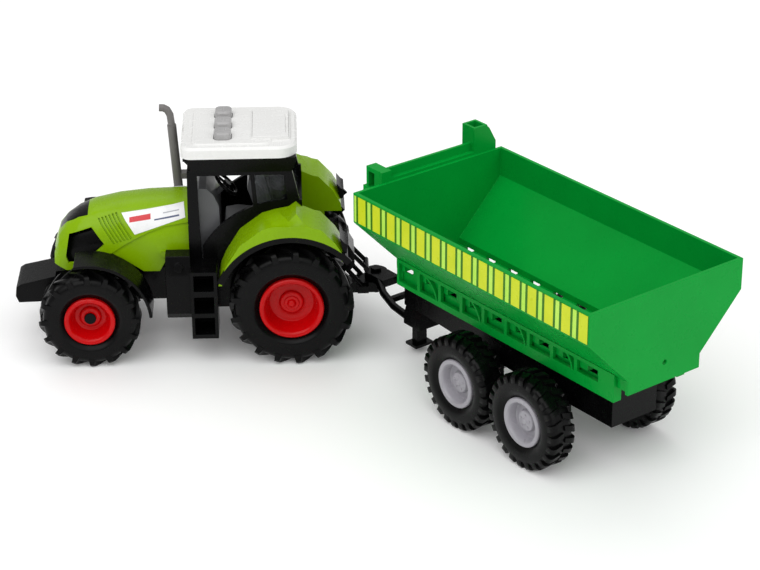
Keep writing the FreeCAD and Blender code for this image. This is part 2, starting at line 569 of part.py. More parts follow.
outer = mirror_section([(TUB_HALF, TUB_TOP), (TUB_HALF, TUB_BAND), (TUB_FOOT_HALF, TUB_FOOT),
                        (22.6, 66.8), (22.6, TUB_FLOOR)])
inner = mirror_section([(TUB_HALF - 2.0, TUB_TOP + 1), (TUB_HALF - 2.0, TUB_BAND + 0.8),
                        (TUB_FOOT_HALF - 2.0, TUB_FOOT + 0.8), (20.6, 67.6), (20.6, TUB_FLOOR_TOP)])
end_plate = mirror_section([(TUB_HALF, TUB_TOP), (TUB_HALF, TUB_BAND), (TUB_FOOT_HALF, TUB_FOOT),
                            (TUB_FOOT_HALF, TUB_FLOOR)])
tub = tprism(outer, TUB_FRONT, TUB_REAR)
tub = fuse([tub, tprism(end_plate, TUB_REAR - 2, TUB_REAR)])
tub = tub.cut(tprism(inner, TUB_FRONT + 2, TUB_REAR - 2))
slot_cuts = []
for i in range(9):
    u = 59.0 + SLOT_PITCH * i
    for v0, v1 in ((-23.0, -5.0), (5.0, 23.0)):
        slot_cuts.append(tbox(u - SLOT_HALF, u + SLOT_HALF, v0, v1, TUB_FLOOR - 1, TUB_FLOOR_TOP + 0.4))
tub = tub.cut(Part.makeCompound(slot_cuts))
tub = tub.cut(Part.makeCylinder(1.4, 10, V(-TUB_REAR - 4, 0, 72), V(1, 0, 0)))
hang("trailer_hopper", tub)

panel = tbox(PANEL_X0, PANEL_X1, 22.6, TUB_FOOT_HALF, PANEL_Z0, 68.6)
panel = panel.cut(tprism([(22.5, 66.7), (22.5, 70), (25.8, 70)], PANEL_X0 - 1, PANEL_X1 + 1))
bays = []
for i in range(9):
    u0 = PANEL_X0 + 1.8 + BAY_PITCH * i
    u1 = min(u0 + BAY_PITCH - 2.4, PANEL_X1 - 6.0)
    low_z = PANEL_Z0 + 2.6 + 0.55 * i
    bay = tbox(u0, u1, 22.0, 26.0, low_z, 66.4)
    if i % 2 == 1:
        gusset = Part.makeCylinder(15.5, 6, V(-u0, 21, low_z - 3.5), V(0, 1, 0))
        gusset = gusset.cut(Part.makeCylinder(14.3, 6, V(-u0, 21, low_z - 3.5), V(0, 1, 0)))
        bay = bay.cut(gusset)
    bays.append(bay)
panel = panel.cut(Part.makeCompound(bays))
base_rail = tbox(PANEL_X0, PANEL_X1, 19.4, 22.6, PANEL_Z0, PANEL_Z0 + 2.2)
end_ribs = [tbox(u, u + 2.2, 19.4, 22.6, PANEL_Z0, TUB_FLOOR) for u in (PANEL_X0, PANEL_X1 - 2.2)]
back_plate = tbox(PANEL_X0, PANEL_X1, 20.4, 21.4, PANEL_Z0, TUB_FLOOR - 0.4)
panel = fuse([panel, base_rail, back_plate] + end_ribs)
hang("trailer_panel_left", panel)
hang("trailer_panel_right", mirrored(panel))

near_post = tbox(34.2, TUB_FRONT, 26.0, 32.6, 104, 120.4)
near_post = near_post.cut(tbox(36.0, 41.2, 27.6, 34, 105.6, 117.8))
near_foot = tbox(32.0, 46.4, 25.4, 33.2, 102.4, 108.6)
far_post = tbox(37.6, TUB_FRONT, -41.8, -32.3, 104, 129.9)
far_post = far_post.cut(tbox(39.2, 46.4, -40.2, -33.9, 112, 131))
far_foot = tbox(35.4, 46.4, -42.4, -31.7, 102.4, 108.6)
fin = tprism([(-32.3, 104), (-32.3, 129.9), (-35.0, 129.9), (-36.6, 128.6), (-41.6, 129.4), (-43.4, 127.6),
              (-48.1, 119.0), (-48.1, 104)], 46.2, TUB_FRONT)
rail = tbox(43.4, 45.2, -32.4, 26.1, 108, 120.6)
ledge = tbox(45.2, TUB_FRONT, -32.4, 26.1, 113.2, 115.8)
apron = tbox(46.2, TUB_FRONT, -48.1, 48.1, 102.4, 111.4)
headboard = fuse([near_post, near_foot, far_post, far_foot, fin, rail, ledge, apron])
hang("trailer_headboard", headboard)

stripe_cells = []
for v0, side in ((TUB_HALF, 1), (-TUB_HALF, -1)):
    y0, y1 = (v0, v0 + 0.25) if side > 0 else (v0 - 0.25, v0)
    stripe_cells.append(tbox(TUB_FRONT + 1.2, TUB_REAR - 1.2, y0, y1, TUB_BAND + 1.0, TUB_TOP - 1.2))
hang("stripe_stickers", Part.makeCompound(stripe_cells))

beam = prism_y([(-46, BEAM_Z0 + 4.5), (-46, BEAM_Z1), (-216, BEAM_Z1), (-216, BEAM_Z0),
                (-150, BEAM_Z0), (-66, BEAM_Z0 + 4.5)], -BEAM_HALF, BEAM_HALF)
beam = beam.cut(tbox(60, 213.6, -BEAM_HALF + 2, BEAM_HALF - 2, BEAM_Z0 - 1, BEAM_Z1 - 2))
pedestal_us = (72.0, 134.0, 196.0)
pedestals = [tbox(u - 5, u + 5, -4.6, 4.6, BEAM_Z1 - 2, TUB_FLOOR) for u in pedestal_us]
carriers = []
for u in TRL_AXLES:
    carriers.append(tprism([(13.5, BEAM_Z0 + 6), (24, BEAM_Z0 + 2), (24, 21), (13.5, 21)], u - 6, u + 6))
    carriers.append(tprism([(-13.5, BEAM_Z0 + 6), (-24, BEAM_Z0 + 2), (-24, 21), (-13.5, 21)], u - 6, u + 6))
stand = [
    tbox(35.4, 45.0, -6.2, 6.2, 3.6, 5.2),
    tbox(38.0, 42.6, -3.5, 3.5, 5.2, 30.0),
    tprism([(-16, 24), (16, 24), (16, 30), (13, 38), (-13, 38), (-16, 30)], 46.0, 60),
    tbox(38.0, 46.0, -3.5, 3.5, 26.0, 38.0),
]
trailer_chassis = fuse([beam] + pedestals + carriers + stand)
trailer_chassis = cut(trailer_chassis, [rod((-u, -30, TRL_R), (-u, 30, TRL_R), AXLE_R - 0.5 + RUN_GAP)
                                        for u in TRL_AXLES])
pilot = [rod((-u, 0, BEAM_Z1 - 3), (-u, 0, TUB_FLOOR), 1.1) for u in pedestal_us]
trailer_chassis = cut(trailer_chassis, pilot)
hang("trailer_chassis", trailer_chassis)
trailer_screws = [fuse([rod((-u, 0, BEAM_Z1 - 3.6), (-u, 0, BEAM_Z1 - 2), 2.2),
                        rod((-u, 0, BEAM_Z1 - 3), (-u, 0, TUB_FLOOR - 0.2), 1.1)]) for u in pedestal_us]
hang("trailer_screws", Part.makeCompound(trailer_screws))

ring = rod((0, 0, RING_Z0), (0, 0, RING_Z1), 6.6)
neck = tbox(3.5, 14, -6.0, 6.0, RING_Z0, RING_Z1)
arms = []
for s in (1, -1):
    path = [(8, 4.5 * s, 33.0), (20, 10.0 * s, 30.6), (33, 13.0 * s, 28.6), (48, 13.2 * s, 26.8)]
    for a, b in zip(path[:-1], path[1:]):
        arms.append(rod((-a[0], a[1], a[2]), (-b[0], b[1], b[2]), 2.2))
    for a in path[1:-1]:
        arms.append(Part.makeSphere(2.2, V(-a[0], a[1], a[2])))
tie = tbox(26.0, 29.0, -12.0, 12.0, 28.2, 31.2)
drawbar = fuse([ring, neck, tie] + arms)
drawbar = drawbar.cut(rod((0, 0, 20), (0, 0, 50), 2.2 + 0.5))
drawbar = drawbar.cut(tbox(46, 60, -18, 18, 20, 60))
hang("trailer_drawbar", drawbar)

for i, u in enumerate(TRL_AXLES):
    tag = "_front_" if i == 0 else "_rear_"
    steel = rod((-u, -32, TRL_R), (-u, 32, TRL_R), AXLE_R - 0.5)
    hang("trailer" + tag + "axle", steel)
    for side, name in ((1, "left"), (-1, "right")):
        hang("trailer" + tag + "tyre_" + name, tyre(-u, TRL_OUT, TRL_R, TRL_W, TRL_RIM_R, side))
        wheel = rim(-u, TRL_OUT, TRL_R, TRL_W, TRL_RIM_R, 5.0, 4.6, AXLE_R - 0.5, side)
        nub = turned([(0, 3.6), (2.6, 3.6), (3.2, 4.6), (0, 4.6)], -u, side * TRL_OUT, TRL_R, side)
        hang("trailer" + tag + "rim_" + name, fuse([wheel, nub]))

# ---------------------------------------------------------------- common origin and export
whole = FreeCAD.BoundBox()
for shape in nodes.values():
    whole.add(shape.BoundBox)
centre = V(-whole.Center.x, -whole.Center.y, 0)
for name, shape in nodes.items():
    shape.translate(centre)
    shape.exportStep("parts/" + name + ".step")
print(len(nodes), "nodes, shift", round(centre.x, 4), round(centre.y, 4), "size",
      round(whole.XLength, 2), round(whole.YLength, 2), round(whole.ZLength, 2), "low", round(whole.ZMin, 3))
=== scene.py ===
import bpy
import bmesh
import json
import math
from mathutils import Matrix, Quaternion, Vector


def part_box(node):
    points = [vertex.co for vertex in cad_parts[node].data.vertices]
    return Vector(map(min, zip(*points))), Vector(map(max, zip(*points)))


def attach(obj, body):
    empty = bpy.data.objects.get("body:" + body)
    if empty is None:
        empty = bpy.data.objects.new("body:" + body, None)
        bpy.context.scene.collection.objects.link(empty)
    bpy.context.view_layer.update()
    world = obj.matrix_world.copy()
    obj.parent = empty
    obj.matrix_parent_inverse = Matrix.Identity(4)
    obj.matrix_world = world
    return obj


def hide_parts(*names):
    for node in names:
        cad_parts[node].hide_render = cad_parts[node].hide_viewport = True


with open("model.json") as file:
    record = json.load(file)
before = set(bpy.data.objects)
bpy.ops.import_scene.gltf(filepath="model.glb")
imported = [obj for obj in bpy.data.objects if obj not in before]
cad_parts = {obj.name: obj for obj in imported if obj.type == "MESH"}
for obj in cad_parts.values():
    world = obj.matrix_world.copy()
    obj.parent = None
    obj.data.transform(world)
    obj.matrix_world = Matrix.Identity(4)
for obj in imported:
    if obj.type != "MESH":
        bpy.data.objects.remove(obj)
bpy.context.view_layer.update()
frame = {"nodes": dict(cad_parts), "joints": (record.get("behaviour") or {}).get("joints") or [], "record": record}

# ---------------------------------------------------------------- places
# Millimetre figures below are in the tractor's frame (rear axle over X = 0, left is +Y) or in
# the trailer's frame (u behind the hitch pin, v to the left, z up). Both hang on the CAD frame.
MM = 0.001
JOINTS = {joint["name"]: joint for joint in frame["joints"]}
AXLE_LOW, AXLE_HIGH = (Vector(corner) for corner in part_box("rear_axle"))
TRACTOR = Vector(((AXLE_LOW.x + AXLE_HIGH.x) / 2, (AXLE_LOW.y + AXLE_HIGH.y) / 2, 0.0))
PIN = Vector(JOINTS["hitch_yaw"]["pos_m"])
PIN.z = 0.0
UP = Vector((0, 0, 1))
LEFT = Vector(JOINTS["trailer_front_spin"]["axis"]).normalized()
BACK = UP.cross(LEFT)


def at(x, y, z):
    return TRACTOR + Vector((x, y, z)) * MM


def hung(u, v, z):
    return PIN + (BACK * u + LEFT * v + UP * z) * MM


# ---------------------------------------------------------------- materials
class Graph:
    """A small helper to wire one procedural material."""

    def __init__(self, name):
        self.material = bpy.data.materials.new(name)
        self.material.use_nodes = True
        self.nodes = self.material.node_tree.nodes
        self.links = self.material.node_tree.links
        self.shader = self.nodes["Principled BSDF"]
        self.coords = self.nodes.new("ShaderNodeTexCoord").outputs["Object"]

    def put(self, kind, inputs=None, **settings):
        node = self.nodes.new(kind)
        for key, value in settings.items():
            setattr(node, key, value)
        for key, value in (inputs or {}).items():
            self.feed(node.inputs[key], value)
        return node

    def feed(self, socket, value):
        if isinstance(value, bpy.types.NodeSocket):
            self.links.new(value, socket)
        else:
            socket.default_value = value

    def noise(self, scale, detail=3.0, rough=0.5, vector=None):
        return self.put("ShaderNodeTexNoise", {"Vector": vector or self.coords, "Scale": scale,
                                               "Detail": detail, "Roughness": rough}).outputs["Fac"]

    def spread(self, value, low, high, start=0.3, end=0.7):
        """Maps a noise value from its usual range onto low..high."""
        return self.put("ShaderNodeMapRange", {"Value": value, "From Min": start, "From Max": end,
                                               "To Min": low, "To Max": high}).outputs["Result"]

    def mix(self, fac, a, b):
        node = self.nodes.new("ShaderNodeMix")
        node.data_type = "RGBA"
        self.feed(node.inputs[0], fac)
        self.feed(node.inputs[6], a)
        self.feed(node.inputs[7], b)
        return node.outputs[2]

    def math(self, operation, a, b=0.0):
        return self.put("ShaderNodeMath", {0: a, 1: b}, operation=operation).outputs[0]

    def bump(self, height, strength, distance):
        node = self.put("ShaderNodeBump", {"Height": height, "Strength": strength, "Distance": distance})
        self.links.new(node.outputs["Normal"], self.shader.inputs["Normal"])


def shade(colour, k):
    return (min(colour[0] * k, 1.0), min(colour[1] * k, 1.0), min(colour[2] * k, 1.0), 1.0)


def scratches(g):
    """Fine directionless handling marks, 0 where there is none."""
    stretch = g.put("ShaderNodeMapping", {"Vector": g.coords, "Rotation": (0.4, 0.7, 1.1),
                                          "Scale": (1.0, 0.06, 0.3)}).outputs["Vector"]
    lines = g.noise(2600.0, 2.0, 0.6, stretch)
    return g.spread(lines, 0.0, 1.0, 0.62, 0.72)


def moulded(name, colour, rough, coat=0.0, grain=0.04, variation=0.07, gloss=0.5):
    """Injection moulded plastic: flow shading, mould grain, faint handling marks."""
    g = Graph(name)
    flow = g.noise(34.0, 4.0, 0.55)
    base = g.mix(g.spread(flow, 0.0, 1.0), shade(colour, 1.0 - variation), shade(colour, 1.0 + variation))
    marks = scratches(g)
    base = g.mix(g.math("MULTIPLY", marks, 0.10), base, shade(colour, 1.5))
    g.feed(g.shader.inputs["Base Color"], base)
    fine = g.noise(1500.0, 2.0, 0.6)
    uneven = g.spread(g.noise(160.0, 3.0), rough * 0.82, rough * 1.18)
    g.feed(g.shader.inputs["Roughness"], g.math("ADD", uneven, g.math("MULTIPLY", marks, 0.12)))
    g.shader.inputs["Specular IOR Level"].default_value = gloss
    g.shader.inputs["Coat Weight"].default_value = coat
    g.shader.inputs["Coat Roughness"].default_value = 0.12
    g.bump(fine, grain, 0.0002)
    return g.material


def tyre_rubber():
    """Soft black vinyl: matte, a little dusty in scattered patches, with a fine pebble grain."""
    g = Graph("tyre_rubber")
    cloud = g.noise(55.0, 5.0, 0.6)
    base = g.mix(g.spread(cloud, 0.0, 1.0), (0.0014, 0.0014, 0.0015, 1), (0.0034, 0.0034, 0.0036, 1))
    dust = g.spread(g.noise(420.0, 3.0, 0.65), 0.0, 0.22, 0.58, 0.75)
    base = g.mix(dust, base, (0.014, 0.0135, 0.013, 1))
    g.feed(g.shader.inputs["Base Color"], base)
    g.feed(g.shader.inputs["Roughness"], g.spread(g.noise(210.0, 3.0), 0.24, 0.38))
    g.shader.inputs["Specular IOR Level"].default_value = 0.12
    g.bump(g.noise(1900.0, 2.0, 0.6), 0.10, 0.0002)
    return g.material


def steel():
    g = Graph("drawn_steel")
    along = g.put("ShaderNodeMapping", {"Vector": g.coords, "Scale": (1.0, 0.05, 1.0)}).outputs["Vector"]
    lines = g.noise(3000.0, 2.0, 0.6, along)
    g.feed(g.shader.inputs["Base Color"],
           g.mix(g.spread(lines, 0.0, 1.0), (0.42, 0.42, 0.43, 1), (0.66, 0.66, 0.67, 1)))
    g.feed(g.shader.inputs["Roughness"], g.spread(g.noise(500.0), 0.22, 0.38))
    g.shader.inputs["Metallic"].default_value = 1.0
    g.bump(lines, 0.05, 0.0001)
    return g.material


def smoke_clear():
    """Thin tinted clear plastic with a little haze and dust."""
    g = Graph("smoke_clear")
    haze = g.noise(130.0, 4.0)
    g.feed(g.shader.inputs["Base Color"],
           g.mix(g.spread(haze, 0.0, 1.0), (0.10, 0.11, 0.12, 1), (0.20, 0.22, 0.24, 1)))
    g.feed(g.shader.inputs["Roughness"], g.spread(g.noise(700.0), 0.03, 0.10))
    g.shader.inputs["Transmission Weight"].default_value = 0.9
    g.shader.inputs["IOR"].default_value = 1.35
    g.feed(g.shader.inputs["Alpha"], g.spread(haze, 0.40, 0.55))
    g.bump(g.noise(60.0), 0.02, 0.0003)
    return g.material


def trailer_coords(g):
    """Outputs u (behind the pin) and z, in millimetres, for printed patterns on the trailer."""
    spot = g.put("ShaderNodeSeparateXYZ", {"Vector": g.coords})
    x = g.math("SUBTRACT", spot.outputs["X"], PIN.x)
    y = g.math("SUBTRACT", spot.outputs["Y"], PIN.y)
    u = g.math("ADD", g.math("MULTIPLY", x, BACK.x / MM), g.math("MULTIPLY", y, BACK.y / MM))
    return u, g.math("MULTIPLY", spot.outputs["Z"], 1.0 / MM)


# The printed foil: one repeat holds a wide bar and a slim bar on a darker ground.
FOIL_START = 52.6
FOIL_PITCH = 12.55
FOIL_BARS = ((0.0, 6.4, "wide"), (8.1, 10.8, "slim"))


def stripe_foil():
    g = Graph("stripe_foil")
    u, z = trailer_coords(g)
    place = g.math("MODULO", g.math("SUBTRACT", u, FOIL_START - FOIL_PITCH), FOIL_PITCH)
    green = g.mix(g.spread(g.noise(300.0), 0.0, 1.0), (0.030, 0.15, 0.001, 1), (0.042, 0.20, 0.003, 1))
    wide = g.mix(g.spread(g.noise(90.0), 0.0, 1.0), (0.56, 0.66, 0.012, 1), (0.63, 0.71, 0.020, 1))
    slim = g.mix(g.spread(g.noise(90.0), 0.0, 1.0), (0.44, 0.78, 0.075, 1), (0.52, 0.83, 0.11, 1))
    colour = green
    for low, high, kind in FOIL_BARS:
        inside = g.math("MULTIPLY", g.math("GREATER_THAN", place, low), g.math("LESS_THAN", place, high))
        colour = g.mix(inside, colour, wide if kind == "wide" else slim)
    g.feed(g.shader.inputs["Base Color"], colour)
    g.feed(g.shader.inputs["Roughness"], g.spread(g.noise(240.0), 0.26, 0.40))
    g.shader.inputs["Specular IOR Level"].default_value = 0.2
    g.bump(g.noise(800.0), 0.03, 0.0001)
    return g.material


def label_print():
    """White foil with plain colour bars and no lettering."""
    g = Graph("label_print")
    spot = g.put("ShaderNodeSeparateXYZ", {"Vector": g.coords})
    x = g.math("MULTIPLY", g.math("SUBTRACT", spot.outputs["X"], TRACTOR.x), 1.0 / MM)
    z = g.math("MULTIPLY", spot.outputs["Z"], 1.0 / MM)
    slope = g.math("SUBTRACT", z, g.math("MULTIPLY", g.math("SUBTRACT", 92.0, x), 0.155))
    paper = g.mix(g.spread(g.noise(150.0), 0.0, 1.0), (0.80, 0.81, 0.82, 1), (0.90, 0.90, 0.90, 1))

    def bar(x0, x1, s0, s1):
        across = g.math("MULTIPLY", g.math("GREATER_THAN", x, x0), g.math("LESS_THAN", x, x1))
        up = g.math("MULTIPLY", g.math("GREATER_THAN", slope, s0), g.math("LESS_THAN", slope, s1))
        return g.math("MULTIPLY", across, up)

    colour = g.mix(bar(78.0, 90.0, 76.0, 78.6), paper, (0.62, 0.02, 0.03, 1))
    colour = g.mix(bar(62.0, 76.0, 74.9, 75.7), colour, (0.05, 0.07, 0.16, 1))
    colour = g.mix(bar(62.0, 71.0, 77.4, 77.9), colour, (0.35, 0.36, 0.40, 1))
    g.feed(g.shader.inputs["Base Color"], colour)
    g.feed(g.shader.inputs["Roughness"], g.spread(g.noise(260.0), 0.24, 0.36))
    g.bump(g.noise(900.0), 0.03, 0.0001)
    return g.material


LIME = moulded("lime_plastic", (0.222, 0.405, 0.0006), 0.26, 0.02, gloss=0.16)
BLACK = moulded("black_plastic", (0.0016, 0.0016, 0.0018), 0.26, grain=0.08, variation=0.30, gloss=0.11)
CAB_GREY = moulded("cab_grey", (0.105, 0.107, 0.112), 0.34, grain=0.10, variation=0.12, gloss=0.35)
EXHAUST = moulded("exhaust_grey", (0.150, 0.142, 0.138), 0.32, variation=0.12, gloss=0.35)
WHITE = moulded("white_plastic", (0.80, 0.80, 0.785), 0.26, 0.10, variation=0.02, gloss=0.40)
KEYS = moulded("grey_keys", (0.36, 0.355, 0.355), 0.26, 0.15, variation=0.10, gloss=0.45)
RED = moulded("red_plastic", (0.490, 0.0008, 0.002), 0.24, 0.02, variation=0.08, gloss=0.18)
GREEN = moulded("green_plastic", (0.0004, 0.300, 0.034), 0.30, grain=0.006, variation=0.05, gloss=0.09)
RIM_GREY = moulded("grey_rims", (0.330, 0.318, 0.350), 0.32, 0.10, variation=0.08, gloss=0.45)
NYLON = moulded("gear_white", (0.72, 0.70, 0.64), 0.42, variation=0.04)
BOARD = moulded("board_green", (0.02, 0.16, 0.06), 0.40, variation=0.10)
RUBBER = tyre_rubber()
STEEL = steel()
GLASS = smoke_clear()
FOIL = stripe_foil()
LABEL = label_print()

BY_SLOT = {
    "lime_plastic": LIME, "black_plastic": BLACK, "cab_grey": CAB_GREY, "exhaust_grey": EXHAUST,
    "white_plastic": WHITE, "grey_keys": KEYS, "smoke_clear": GLASS, "white_label": LABEL,
    "red_plastic": RED, "amber_lens": BLACK, "tyre_rubber": RUBBER, "grey_rims": RIM_GREY,
    "green_plastic": GREEN, "stripe_foil": FOIL, "steel": STEEL, "black_caps": BLACK,
    "gear_white": NYLON, "board_green": BOARD, "speaker_black": BLACK,
}


# ---------------------------------------------------------------- mesh helpers
def smooth_by_angle(mesh, degrees=32.0):
    for face in mesh.polygons:
        face.use_smooth = True
    mesh.set_sharp_from_angle(angle=math.radians(degrees))


def soften(piece, width, angle=28.0, segments=2):
    """Rounds the moulded edges a little."""
    bevel = piece.modifiers.new("edge_round", "BEVEL")
    bevel.limit_method = "ANGLE"
    bevel.angle_limit = math.radians(angle)
    bevel.width = width * MM
    bevel.segments = segments
    bevel.use_clamp_overlap = True
    bevel.harden_normals = True


def flat_faces(piece):
    """Joins the CAD faces into one skin and each flat face into one polygon, so edges round evenly."""
    skin = piece.modifiers.new("one_skin", "WELD")
    skin.merge_threshold = 0.002 * MM
    dissolve = piece.modifiers.new("flat_faces", "DECIMATE")
    dissolve.decimate_type = "DISSOLVE"
    dissolve.angle_limit = math.radians(0.6)
    dissolve.delimit = {"SHARP"}


def sharp_cad_edges(mesh, degrees=30.0):
    """Smooth shading, kept sharp where two CAD faces meet at an angle but share no vertex."""
    limit = math.cos(math.radians(degrees))
    keys = [tuple(round(c * 1e6) for c in vert.co) for vert in mesh.vertices]
    normals = {}
    for face in mesh.polygons:
        face.use_smooth = True
        for a, b in face.edge_keys:
            normals.setdefault(frozenset((keys[a], keys[b])), []).append(face.normal)
    for edge in mesh.edges:
        a, b = edge.vertices
        sides = normals[frozenset((keys[a], keys[b]))]
        edge.use_edge_sharp = len(sides) != 2 or sides[0].dot(sides[1]) < limit


def make_piece(name, bm, material, body, replaces=()):
    mesh = bpy.data.meshes.new(name)
    bmesh.ops.recalc_face_normals(bm, faces=bm.faces)
    bm.to_mesh(mesh)
    bm.free()
    piece = bpy.data.objects.new(name, mesh)
    bpy.context.scene.collection.objects.link(piece)
    mesh.materials.append(material)
    smooth_by_angle(mesh)
    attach(piece, body)
    if replaces:
        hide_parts(*replaces)
    return piece


class Hub:
    """Turns (radius, angle, depth inwards from the outer face) into a point on a wheel."""

    def __init__(self, centre, outward):
        self.centre = centre
        self.outward = outward.normalized()
        self.along = UP.cross(self.outward)

    def point(self, radius, angle, depth):
        spoke = self.along * math.cos(angle) + UP * math.sin(angle)
        return self.centre + (spoke * radius - self.outward * depth) * MM


def lathe(bm, hub, profile, segments, closed=True):
    """Turns a profile of (radius, depth) round the hub. A radius of 0 becomes one point."""
    rings = []
    for radius, depth in profile:
        if radius == 0:
            rings.append([bm.verts.new(hub.point(0, 0, depth))])
        else:
            rings.append([bm.verts.new(hub.point(radius, 2 * math.pi * i / segments, depth))
                          for i in range(segments)])
    pairs = list(zip(rings[:-1], rings[1:]))
    if closed:
        pairs.append((rings[-1], rings[0]))
    for a, b in pairs:
        for i in range(segments):
            j = (i + 1) % segments
            corners = [a[i % len(a)], a[j % len(a)], b[j % len(b)], b[i % len(b)]]
            unique = []
            for vert in corners:
                if vert not in unique:
                    unique.append(vert)
            if len(unique) > 2:
                bm.faces.new(unique)


def bar(bm, stations):
    """Closed bar through stations, each a list of four points."""
    rings = [[bm.verts.new(p) for p in points] for points in stations]
    for a, b in zip(rings[:-1], rings[1:]):
        for i in range(4):
            j = (i + 1) % 4
            bm.faces.new((a[i], a[j], b[j], b[i]))
    bm.faces.new(rings[0])
    bm.faces.new(rings[-1][::-1])


# ---------------------------------------------------------------- wheels
class Tread:
    """Figures of one kind of tyre, in millimetres."""

    def __init__(self, r, w, rim, lugs, lug_h, lug_top, lug_base, sweep, reach, dip):
        self.r, self.w, self.rim = r, w, rim
        self.lugs, self.lug_h = lugs, lug_h
        self.lug_top, self.lug_base = lug_top, lug_base
        self.sweep, self.reach, self.dip = sweep, reach, dip


WHEEL_STEPS = 128
TRAILER_RIM_STEPS = 96
BOLTS = 5
AXLE_BORE = 2.0
FRONT_AXLE_X = 113.0
REAR_FACE_Y = 49.0
FRONT_FACE_Y = 47.0
TRAILER_FACE_V = 44.0

REAR = Tread(35.0, 22.0, 18.0, 17, 2.6, 3.0, 5.0, 22.0, 0.60, 3.0)
FRONT = Tread(28.5, 18.0, 14.2, 16, 2.2, 2.6, 4.4, 22.0, 0.60, 2.4)
TRAILER = Tread(26.5, 16.0, 13.6, 24, 1.6, 3.4, 4.2, 4.0, 0.47, 1.6)


def tyre_piece(name, node, body, hub, tread):
    r, w, rim, h = tread.r, tread.w, tread.rim, tread.lug_h
    crown = r - h
    side = [(rim - 0.2, tread.dip + 0.8), (rim + 0.6, tread.dip + 0.2), (rim + 1.6, tread.dip * 0.72),
            (rim + 2.6, tread.dip * 0.40), (rim + 3.4, tread.dip * 0.14),
            (rim + 4.2, 0.06), (rim + 5.0, 0.0),
            ((rim + crown) / 2 + 2.2, 0.05), (crown - 2.8, 0.35), (crown - 1.7, 0.9), (crown - 0.8, 1.7),
            (crown - 0.2, 2.9), (crown, 4.4)]
    middle = [(crown + 0.25, w / 2)]
    other = [(radius, w - depth) for radius, depth in side[::-1]]
    bm = bmesh.new()
    lathe(bm, hub, side + middle + other, WHEEL_STEPS)
    step = 2 * math.pi / tread.lugs
    for i in range(tread.lugs):
        for half in (0, 1):
            start = step * (i + 0.5 * half)
            bar(bm, lug_stations(hub, tread, crown, start, half))
    piece = make_piece(name, bm, RUBBER, body, [node])
    soften(piece, 0.35, 40.0)
    return piece


def lug_stations(hub, tread, crown, start, half):
    """Cross sections of one tread lug, from the shoulder to past the middle of the tread."""
    r, w = tread.r, tread.w
    length = w * tread.reach
    shoulder = [(0.12, crown - 3.2, crown - 1.2, 0.0), (0.16, crown - 3.2, r - 1.7, 0.0),
                (0.9, crown - 2.4, r - 0.6, 0.02), (2.2, crown - 1.4, r, 0.08)]
    run = [(2.2 + (length - 2.2) * t, crown - 0.8, r - 0.35 * t * t, 0.08 + 0.92 * t)
           for t in (0.3, 0.6, 0.85, 1.0)]
    stations = []
    for depth, low, top, t in shoulder + run:
        slim = 1.0 - 0.25 * t
        base = tread.lug_base * slim / r / 2
        tip = tread.lug_top * slim / r / 2
        mid = start + math.radians(tread.sweep) * t
        where = depth if half == 0 else w - depth
        stations.append([hub.point(low, mid - base, where), hub.point(top, mid - tip, where),
                         hub.point(top, mid + tip, where), hub.point(low, mid + base, where)])
    return stations


def tractor_rim(name, node, body, hub, tread, dish, hub_r, bore):
    """Deep dished rim with a stepped hub; a bore of 0 closes the hub with a rounded nub."""
    r, w = tread.rim, tread.w
    centre = [(bore, dish + 0.4), (bore + 0.5, dish - 0.2)] if bore else \
        [(0, dish - 2.2), (1.0, dish - 2.1), (1.9, dish - 1.6), (2.3, dish - 0.9), (2.6, dish - 0.5)]
    face = [(hub_r - 2.4, dish - 0.4), (hub_r - 2.0, dish + 0.2), (hub_r - 0.5, dish + 0.4),
            (hub_r + 0.1, dish + 0.9), (hub_r + 0.5, dish + 2.3), (hub_r + 1.2, dish + 2.6),
            (r - 6.6, dish + 2.5), (r - 5.6, dish + 1.9), (r - 4.6, dish - 0.6), (r - 3.4, 2.6),
            (r - 2.9, 1.5), (r - 2.3, 0.75), (r - 1.5, 0.35), (r - 0.6, 0.3), (r, 0.8),
            (r, w - 0.8), (r - 0.8, w - 0.4), (r - 1.8, w - 0.6), (r - 1.8, dish + 5.0),
            (hub_r + 0.4, dish + 5.0), (hub_r - 0.4, w), (AXLE_BORE if not bore else bore, w)]
    back = [(AXLE_BORE, dish + 3.0), (0, dish + 3.0)] if not bore else []
    bm = bmesh.new()
    lathe(bm, hub, centre + face + back, WHEEL_STEPS, closed=bool(bore))
    return make_piece(name, bm, RED, body, [node])


def trailer_rim(name, node, body, hub, tread):
    """Shallow grey rim with a raised hub plate and five bolt heads."""
    r, w = tread.rim, tread.w
    profile = [(0, 2.9), (1.3, 3.0), (1.7, 3.5), (2.0, 3.7), (4.6, 3.8), (5.4, 4.1), (5.9, 4.8), (6.2, 6.2),
               (9.2, 6.5), (9.8, 6.1), (10.4, 2.6), (10.8, 1.3), (11.3, 0.85), (12.6, 0.7), (13.2, 0.8),
               (r, 1.3), (r, w - 1.0), (r - 1.6, w - 0.7), (r - 1.7, 9.5), (5.4, 9.5), (5.0, w), (1.5, w),
               (1.5, 8.0), (0, 8.0)]
    bm = bmesh.new()
    lathe(bm, hub, profile, TRAILER_RIM_STEPS, closed=False)
    for i in range(BOLTS):
        angle = 2 * math.pi * (i + 0.25) / BOLTS
        bolt = Hub(hub.point(3.5, angle, 3.85), hub.outward)
        lathe(bm, bolt, [(0, -0.5), (0.45, -0.5), (0.62, -0.3), (0.66, 0.6), (0, 0.6)], 16, closed=False)
    return make_piece(name, bm, RIM_GREY, body, [node])


